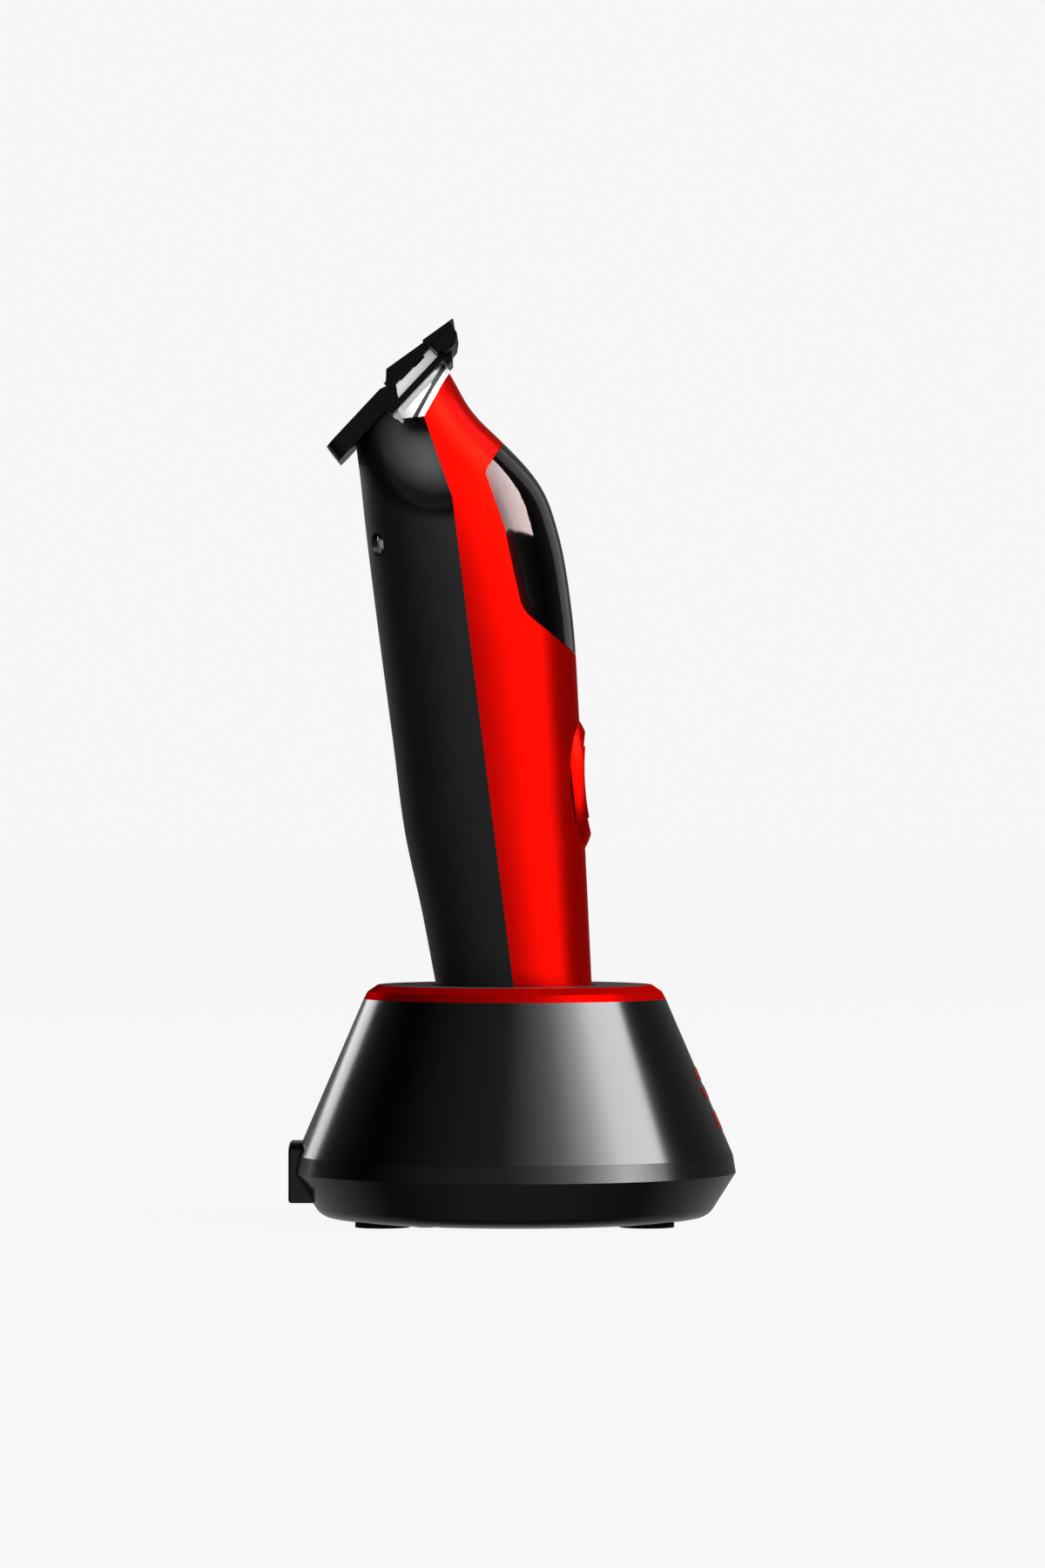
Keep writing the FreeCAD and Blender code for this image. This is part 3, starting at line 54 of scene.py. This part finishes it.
class Surface:
    """A principled material with its nodes, made step by step."""

    def __init__(self, name, color, roughness, metallic=0.0, specular=0.5):
        self.material = bpy.data.materials.new(name)
        self.material.use_nodes = True
        self.tree = self.material.node_tree
        self.nodes = self.tree.nodes
        self.links = self.tree.links
        self.shader = self.nodes["Principled BSDF"]
        self.color = color
        self.roughness = roughness
        self.shader.inputs["Base Color"].default_value = (*color, 1)
        self.shader.inputs["Roughness"].default_value = roughness
        self.shader.inputs["Metallic"].default_value = metallic
        self.shader.inputs["Specular IOR Level"].default_value = specular
        self.place = self.nodes.new("ShaderNodeTexCoord").outputs["Object"]

    def node(self, kind, **inputs):
        """Adds a node; inputs are values, or sockets to link from."""
        item = self.nodes.new(kind)
        for key, value in inputs.items():
            socket = item.inputs[key]
            if isinstance(value, bpy.types.NodeSocket):
                self.links.new(value, socket)
            else:
                socket.default_value = value
        return item

    def noise(self, size, detail, stretch=None):
        """Noise whose features are about one size across, in metres."""
        place = self.place
        if stretch:
            place = self.node("ShaderNodeMapping", Vector=place, Scale=stretch).outputs["Vector"]
        return self.node("ShaderNodeTexNoise", Vector=place, Scale=1 / size,
                         Detail=detail).outputs["Fac"]

    def ranged(self, value, low, high, start=0.3, end=0.7):
        """The value's band from start to end, carried to low and high."""
        item = self.node("ShaderNodeMapRange", Value=value)
        item.inputs["From Min"].default_value = start
        item.inputs["From Max"].default_value = end
        item.inputs["To Min"].default_value = low
        item.inputs["To Max"].default_value = high
        return item.outputs["Result"]

    def mottle(self, size, other):
        """Colour that drifts between the surface's own and another."""
        item = self.nodes.new("ShaderNodeMix")
        item.data_type = "RGBA"
        self.links.new(self.ranged(self.noise(size, 3.0), 0.0, 1.0), item.inputs[MIX_FACTOR])
        item.inputs[MIX_FIRST].default_value = (*self.color, 1)
        item.inputs[MIX_SECOND].default_value = (*other, 1)
        self.links.new(item.outputs[MIX_RESULT], self.shader.inputs["Base Color"])
        return self

    def tint(self, color):
        """A colour for what the gloss reflects."""
        self.shader.inputs["Specular Tint"].default_value = (*color, 1)
        return self

    def uneven(self, size, spread):
        """Roughness that drifts either side of its middle value."""
        drift = self.ranged(self.noise(size, 4.0), self.roughness - spread, self.roughness + spread)
        self.links.new(drift, self.shader.inputs["Roughness"])
        return self

    def grain(self, size, depth, stretch=None, crown=0.0):
        """Fine relief: features of one size and height, in metres.

        crown leans the surface up by this slope, as the lip of a moulding does."""
        height = number(self.tree, "MULTIPLY", self.noise(size, 1.0, stretch), depth)
        if crown:
            rise = self.node("ShaderNodeSeparateXYZ", Vector=self.place).outputs["Z"]
            height = number(self.tree, "MULTIPLY_ADD", rise, -crown, height)
        bump = self.node("ShaderNodeBump", Height=height, Distance=1.0)
        self.links.new(bump.outputs["Normal"], self.shader.inputs["Normal"])
        return self

    def offset(self, point):
        """How far the surface is from a point in side view, along X and along Z."""
        split = self.node("ShaderNodeSeparateXYZ", Vector=self.place)
        return (number(self.tree, "SUBTRACT", split.outputs["X"], point[0]),
                number(self.tree, "SUBTRACT", split.outputs["Z"], point[1]))

    def painted_shade_ring(self, middle, levels, reach):
        """Painted shade: gloss that changes with the distance from a point in side view, so that a
        band goes dark as if shaded.

        levels lists shares of the distance reach and how much of the gloss stays there."""
        off_x, off_z = self.offset(middle)
        square = number(self.tree, "MULTIPLY", off_z, off_z)
        away = number(self.tree, "SQRT", number(self.tree, "MULTIPLY_ADD", off_x, off_x, square))
        ramp = self.node("ShaderNodeValToRGB", Fac=number(self.tree, "DIVIDE", away, reach))
        set_stops(ramp, levels)
        gloss = self.shader.inputs["Specular IOR Level"]
        shaded_gloss = number(self.tree, "MULTIPLY", ramp.outputs["Color"], gloss.default_value)
        self.links.new(shaded_gloss, gloss)
        return self

    def clear_edge(self, edge, beyond, start, across, reach):
        """A see-through skin: how much of it is solid, at an edge and past reach from it.

        start is a point of the edge and across the way from it, in side view."""
        off_x, off_z = self.offset(start)
        part_z = number(self.tree, "MULTIPLY", off_z, across[1])
        off = number(self.tree, "MULTIPLY_ADD", off_x, across[0], part_z)
        self.links.new(self.ranged(off, edge, beyond, 0.0, reach), self.shader.inputs["Alpha"])
        return self


# the scoop in the rear shell keeps its gloss in the middle and loses it towards its rim: a painted
# shade that darkens a band along the rim
SCOOP_MIDDLE = (-14.6 * MM, 163.3 * MM)
SCOOP_REACH = 20 * MM
SCOOP_SHADE_LEVELS = ((0.0, 1.0), (0.3, 0.95), (0.48, 0.6), (0.6, 0.3), (0.7, 0.05), (0.86, 0.05),
               (0.97, 0.8))

# the window is half clear along its rear edge
WINDOW_EDGE = (-2.2 * MM, 141.3 * MM)
WINDOW_ACROSS = (0.969, 0.247)
WINDOW_FADE = 4 * MM

MATERIALS = {
    "satin_black": Surface("satin black moulding", (0.0022, 0.0022, 0.0024), 0.42, specular=0.35)
    .mottle(9 * MM, (0.0030, 0.0030, 0.0032)).uneven(5 * MM, 0.03).grain(0.35 * MM, 0.006 * MM)
    # painted shade: the gloss is taken away in a band round the rim of the scoop
    .painted_shade_ring(SCOOP_MIDDLE, SCOOP_SHADE_LEVELS, SCOOP_REACH),
    "red_lacquer": Surface("red lacquer", (0.43, 0.0012, 0.0003), 0.3, metallic=0.86, specular=0.1)
    .tint((1.0, 0.4, 0.2)).mottle(14 * MM, (0.47, 0.0014, 0.0004)).uneven(8 * MM, 0.02)
    .grain(0.3 * MM, 0.002 * MM),
    "smoked_window": Surface("smoked window", (0.0008, 0.0006, 0.0006), 0.04, specular=0.58)
    .tint((1.0, 0.76, 0.74)).uneven(12 * MM, 0.01)
    .clear_edge(0.5, 0.95, WINDOW_EDGE, WINDOW_ACROSS, WINDOW_FADE),
    "red_button": Surface("red button", (0.34, 0.0012, 0.0005), 0.34, metallic=0.6, specular=0.15)
    .mottle(5 * MM, (0.38, 0.0015, 0.0006)).uneven(3 * MM, 0.03).grain(0.3 * MM, 0.003 * MM),
    "blade_black": Surface("black coated steel", (0.0010, 0.0010, 0.0012), 0.22, specular=0.2)
    .mottle(3 * MM, (0.0018, 0.0018, 0.0020)).uneven(2 * MM, 0.04)
    .grain(0.4 * MM, 0.001 * MM, stretch=(1, 6, 1)),
    "bright_metal": Surface("bright metal", (0.93, 0.93, 0.94), 0.22, metallic=0.5)
    .uneven(4 * MM, 0.03).grain(0.5 * MM, 0.001 * MM, stretch=(1, 5, 1)),
    "grey_rubber": Surface("grey seal", (0.035, 0.036, 0.038), 0.7, specular=0.2)
    .mottle(2 * MM, (0.045, 0.046, 0.048)).uneven(2 * MM, 0.05).grain(0.3 * MM, 0.01 * MM),
    "white_plastic": Surface("white acetal", (0.6, 0.6, 0.58), 0.45)
    .mottle(3 * MM, (0.64, 0.64, 0.62)).uneven(3 * MM, 0.04).grain(0.3 * MM, 0.004 * MM),
    "steel": Surface("turned steel", (0.46, 0.46, 0.47), 0.3, metallic=1.0)
    .mottle(3 * MM, (0.52, 0.52, 0.53)).uneven(2 * MM, 0.05)
    .grain(0.25 * MM, 0.003 * MM, stretch=(1, 1, 6)),
    "brass_contact": Surface("gold contact", (0.80, 0.58, 0.24), 0.24, metallic=1.0)
    .mottle(2 * MM, (0.84, 0.64, 0.30)).uneven(2 * MM, 0.05).grain(0.3 * MM, 0.002 * MM),
    "circuit_board": Surface("circuit board", (0.006, 0.07, 0.028), 0.35)
    .mottle(1.5 * MM, (0.010, 0.10, 0.04)).uneven(3 * MM, 0.05).grain(0.5 * MM, 0.01 * MM),
    "cell_wrap": Surface("cell wrap", (0.01, 0.06, 0.20), 0.3)
    .mottle(6 * MM, (0.015, 0.075, 0.23)).uneven(4 * MM, 0.05).grain(2 * MM, 0.01 * MM),
    "nickel": Surface("nickel strip", (0.50, 0.48, 0.44), 0.28, metallic=1.0)
    .mottle(3 * MM, (0.55, 0.53, 0.48)).uneven(2 * MM, 0.05)
    .grain(0.4 * MM, 0.003 * MM, stretch=(5, 1, 1)),
    "inner_plastic": Surface("inner moulding", (0.008, 0.008, 0.009), 0.55)
    .mottle(5 * MM, (0.011, 0.011, 0.012)).uneven(4 * MM, 0.04).grain(0.4 * MM, 0.008 * MM),
    "dock_gloss": Surface("gloss black dock", (0.0012, 0.0012, 0.0013), 0.17, specular=0.5)
    .uneven(15 * MM, 0.012).grain(5 * MM, 0.0015 * MM),
    "dock_satin": Surface("satin dock base", (0.0020, 0.0020, 0.0021), 0.19, specular=0.5)
    .mottle(8 * MM, (0.0030, 0.0030, 0.0032)).uneven(6 * MM, 0.02)
    .grain(0.4 * MM, 0.003 * MM, crown=0.12),
    "dock_plate": Surface("dark grey plate", (0.018, 0.018, 0.020), 0.5, specular=0.4)
    .mottle(4 * MM, (0.024, 0.024, 0.026)).uneven(4 * MM, 0.04).grain(0.3 * MM, 0.02 * MM),
    "dock_red": Surface("red ring", (0.27, 0.0008, 0.0004), 0.27, metallic=0.3, specular=0.0)
    .tint((1.0, 0.05, 0.04)).mottle(6 * MM, (0.25, 0.0010, 0.0005)).uneven(5 * MM, 0.02)
    .grain(0.3 * MM, 0.002 * MM),
    "indicator_red": Surface("indicator light guide", (0.12, 0.004, 0.003), 0.35, specular=0.3)
    .mottle(2 * MM, (0.14, 0.005, 0.004)).uneven(2 * MM, 0.04).grain(0.5 * MM, 0.004 * MM),
    "foot_rubber": Surface("rubber foot", (0.004, 0.004, 0.004), 0.75, specular=0.2)
    .mottle(2 * MM, (0.007, 0.007, 0.007)).uneven(2 * MM, 0.05).grain(0.3 * MM, 0.01 * MM),
}

for entry in frame["record"]["subparts"]:
    mesh = NODES[entry["node"]].data
    mesh.materials.clear()
    mesh.materials.append(MATERIALS[entry["material_slot"]].material)


# ---------------------------------------------------------------- studio

def aim(item, target):
    """Turns a lamp or camera, whose own direction is -z, towards a point."""
    item.rotation_euler = (Vector(target) - item.location).to_track_quat("-Z", "Y").to_euler()


LAMP_TARGET = (0, 0, 0.09)


def softbox(name, azimuth, height_angle, distance, width, tall, radiance,
            fade=(), roll=0.0, only=()):
    """A rectangular lamp that faces LAMP_TARGET from a distance, sizes in metres.

    azimuth runs from the viewer's side towards +X, in degrees; fade lists how strong the lamp
    is at places across its width, from 0 to 1; roll turns it about its own direction; only
    names the nodes it lights, if not all."""
    lamp = bpy.data.lights.new(name, "AREA")
    lamp.shape = "RECTANGLE"
    lamp.size = width
    lamp.size_y = tall
    lamp.energy = radiance * math.pi * width * tall
    item = bpy.data.objects.new(name, lamp)
    bpy.context.scene.collection.objects.link(item)
    across = math.radians(azimuth)
    up = math.radians(height_angle)
    item.location = Vector(LAMP_TARGET) + distance * Vector((
        math.sin(across) * math.cos(up), -math.cos(across) * math.cos(up), math.sin(up)))
    aim(item, LAMP_TARGET)
    item.rotation_euler.rotate_axis("Z", math.radians(roll))
    if only:
        lit = bpy.data.collections.new(name + " lights")
        for node in only:
            lit.objects.link(NODES[node])
        item.light_linking.receiver_collection = lit
    if fade:
        lamp.use_nodes = True
        nodes = lamp.node_tree.nodes
        links = lamp.node_tree.links
        where = nodes.new("ShaderNodeNewGeometry")
        split = nodes.new("ShaderNodeSeparateXYZ")
        ramp = nodes.new("ShaderNodeValToRGB")
        links.new(where.outputs["Parametric"], split.inputs["Vector"])
        links.new(split.outputs["X"], ramp.inputs["Fac"])
        links.new(ramp.outputs["Color"], nodes["Emission"].inputs["Strength"])
        set_stops(ramp, fade)
    return item


# brightness of what the camera sees, and of what the object reflects on each side
BACKDROP = 0.925
FLOOR_TRIM = 0.006                      # makes up for the light that falls on the floor
ROOM_DARK = 0.004
ROOM_BACK = 0.14
ROOM_FRONT = 0.36
ROOM_LOW = 0.07
ROOM_BEHIND = 0.8
FRONT_POWER = 1.5                       # gathers the front light round the viewer's direction

world = bpy.data.worlds.new("studio")
world.use_nodes = True
bpy.context.scene.world = world
tree = world.node_tree
paths = tree.nodes.new("ShaderNodeLightPath")
room = tree.nodes["Background"]
backdrop = tree.nodes.new("ShaderNodeBackground")
backdrop.inputs["Strength"].default_value = BACKDROP
for shade in (room, backdrop):
    shade.inputs["Color"].default_value = (1, 1, 1, 1)
either = tree.nodes.new("ShaderNodeMixShader")
tree.links.new(paths.outputs["Is Camera Ray"], either.inputs["Fac"])
tree.links.new(room.outputs["Background"], either.inputs[1])
tree.links.new(backdrop.outputs["Background"], either.inputs[2])
tree.links.new(either.outputs["Shader"], tree.nodes["World Output"].inputs["Surface"])

# the room is brighter towards the viewer's side, and below, most of all far below and behind
way = tree.nodes.new("ShaderNodeSeparateXYZ")
tree.links.new(tree.nodes.new("ShaderNodeTexCoord").outputs["Generated"], way.inputs["Vector"])
front = number(tree, "MAXIMUM", number(tree, "MULTIPLY", way.outputs["Y"], -1.0), 0.0)
lower = number(tree, "MAXIMUM", number(tree, "MULTIPLY", way.outputs["Z"], -1.0), 0.0)
behind = number(tree, "MAXIMUM", way.outputs["Y"], 0.0)
low_power = number(tree, "MULTIPLY_ADD", behind, ROOM_BEHIND, ROOM_LOW)
low_light = number(tree, "MULTIPLY", lower, low_power)
back_light = number(tree, "MULTIPLY_ADD", behind, ROOM_BACK, ROOM_DARK)
other_light = number(tree, "ADD", low_light, back_light)
room_light = number(tree, "MULTIPLY_ADD", number(tree, "POWER", front, FRONT_POWER),
                    ROOM_FRONT, other_light)
tree.links.new(room_light, room.inputs["Strength"])

FLOOR_RADIUS = 8
FLOOR_SIDES = 48
floor_mesh = bpy.data.meshes.new("floor")
turns = [2 * math.pi * side / FLOOR_SIDES for side in range(FLOOR_SIDES)]
corners = [(FLOOR_RADIUS * math.cos(turn), FLOOR_RADIUS * math.sin(turn), 0) for turn in turns]
floor_mesh.from_pydata(corners, [], [list(range(FLOOR_SIDES))])
floor = bpy.data.objects.new("floor", floor_mesh)
bpy.context.scene.collection.objects.link(floor)
floor_skin = Surface("pale floor", (0.012, 0.012, 0.012), 0.9, specular=0.0)
floor_skin.shader.inputs["Emission Color"].default_value = (1, 1, 1, 1)
floor_skin.shader.inputs["Emission Strength"].default_value = BACKDROP - FLOOR_TRIM
floor_mesh.materials.append(floor_skin.material)
floor.visible_glossy = False
floor.visible_diffuse = False

# key and rim light everything; the others only add a reflection on the nodes that they name
RED_NODES = ("front_shell", "power_button", "dock_ring")
METAL_NODES = ("head_block", "drive_block", "neck_trim")
softbox("key", 45, 38, 1.25, 2.2, 0.95, 13.0, roll=10,
        fade=((0.0, 0.0), (0.23, 0.045), (0.38, 0.15), (0.52, 0.48), (0.66, 1.0), (1.0, 1.0)))
softbox("rim", -147, 15, 1.2, 0.55, 0.38, 3.5)
softbox("front", 35, 4, 1.9, 5.4, 1.6, 2.5, only=RED_NODES + METAL_NODES,
        fade=((0.0, 0.1), (0.25, 0.18), (0.42, 0.5), (0.56, 1.0), (0.77, 1.0), (0.93, 0.2)))
softbox("front_high", 6, 21, 1.6, 1.3, 0.6, 2.6, only=("front_shell",),
        fade=((0.0, 0.3), (0.3, 1.0), (1.0, 1.0)))
softbox("crest", 108, 50, 1.3, 1.3, 0.8, 3.0, only=("front_shell",))
softbox("scoop", -28, 42, 1.2, 1.2, 0.65, 6.5, only=("rear_shell",))
softbox("glass", 136, 22, 1.2, 0.6, 1.1, 0.42, only=("window_cover",))

CAMERA_LENS = 160                       # millimetres, on a film 36 mm wide
CAMERA_FILM = 36
CAMERA_REACH = 50
CAMERA_AWAY = 1.44
CAMERA_X = 0.0016
CAMERA_Z = 0.0905
camera_data = bpy.data.cameras.new("camera")
camera_data.lens = CAMERA_LENS
camera_data.sensor_width = CAMERA_FILM
camera_data.clip_end = CAMERA_REACH
camera = bpy.data.objects.new("camera", camera_data)
bpy.context.scene.collection.objects.link(camera)
camera.location = (CAMERA_X, -CAMERA_AWAY, CAMERA_Z)
aim(camera, (CAMERA_X, 0, CAMERA_Z))
bpy.context.scene.camera = camera
bpy.context.scene.view_settings.view_transform = "Standard"
